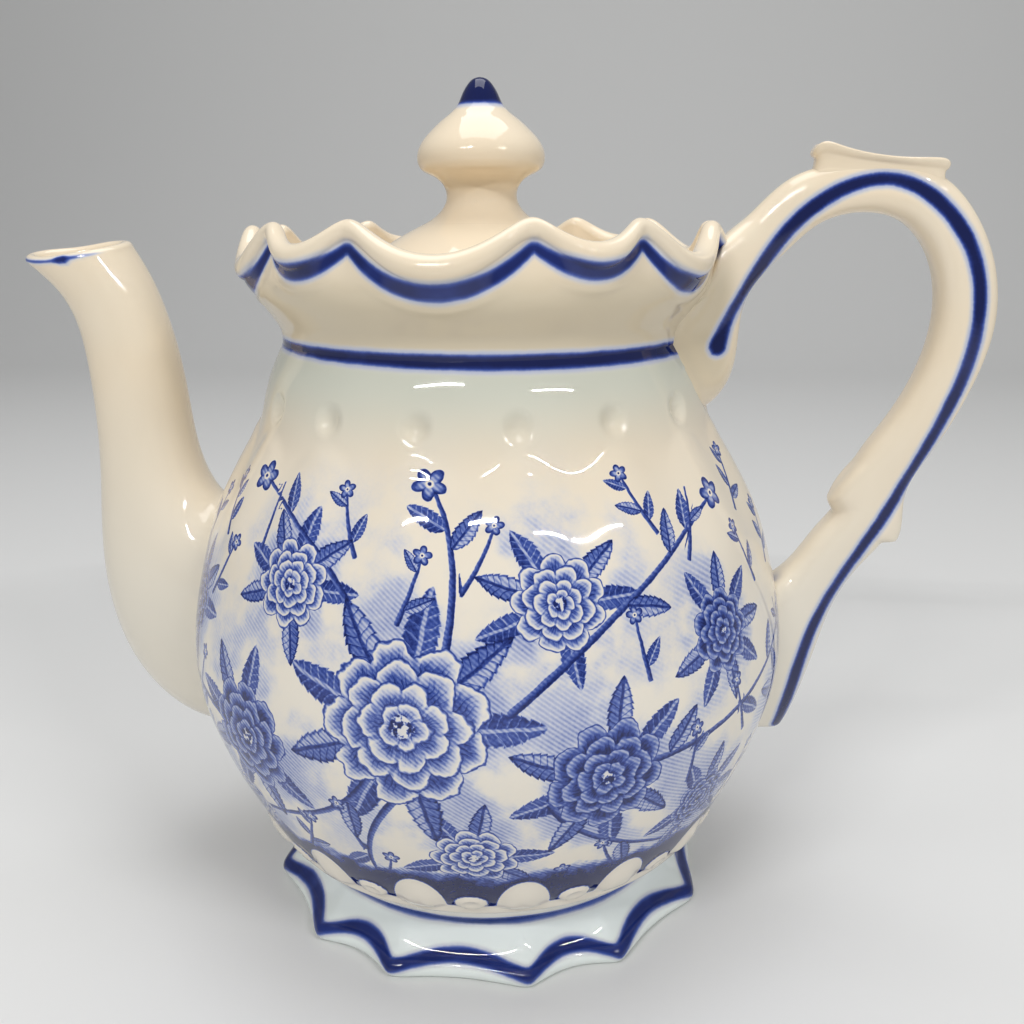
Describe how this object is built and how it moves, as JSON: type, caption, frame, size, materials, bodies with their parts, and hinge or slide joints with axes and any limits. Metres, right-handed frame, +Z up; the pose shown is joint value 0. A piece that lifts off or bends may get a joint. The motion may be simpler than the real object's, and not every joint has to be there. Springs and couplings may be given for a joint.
{
  "type": "teapot",
  "caption": "Lidded porcelain teapot with a scalloped foot, round belly, crown collar, curved spout, scrolled loop handle and a lift-off lid with an onion knob.",
  "frame": {"origin": "on the table under the pot, at the centre of its foot", "axes": "+Z up along the pot's axis, +X from the spout towards the handle, -Y out of the front of the pot"},
  "size_m": [0.2516, 0.1592, 0.216],
  "materials": {
    "white_glaze": "glossy clear glaze on warm white porcelain, with cobalt blue bands",
    "painted_glaze": "glossy clear glaze over a cobalt blue floral decoration"
  },
  "bodies": {
    "pot": {"foot": "white_glaze", "belly": "painted_glaze", "collar": "white_glaze", "lid_seat": "white_glaze", "spout": "white_glaze", "handle": "white_glaze", "thumb_rest": "white_glaze"},
    "lid": {"lid_cover": "white_glaze", "lid_flange": "white_glaze", "lid_knob": "white_glaze"}
  },
  "joints": [
    {"name": "lid_lift", "type": "slide", "parent": "pot", "child": "lid", "axis": [0, 0, 1], "range_m": [0, 0.07]}
  ]
}
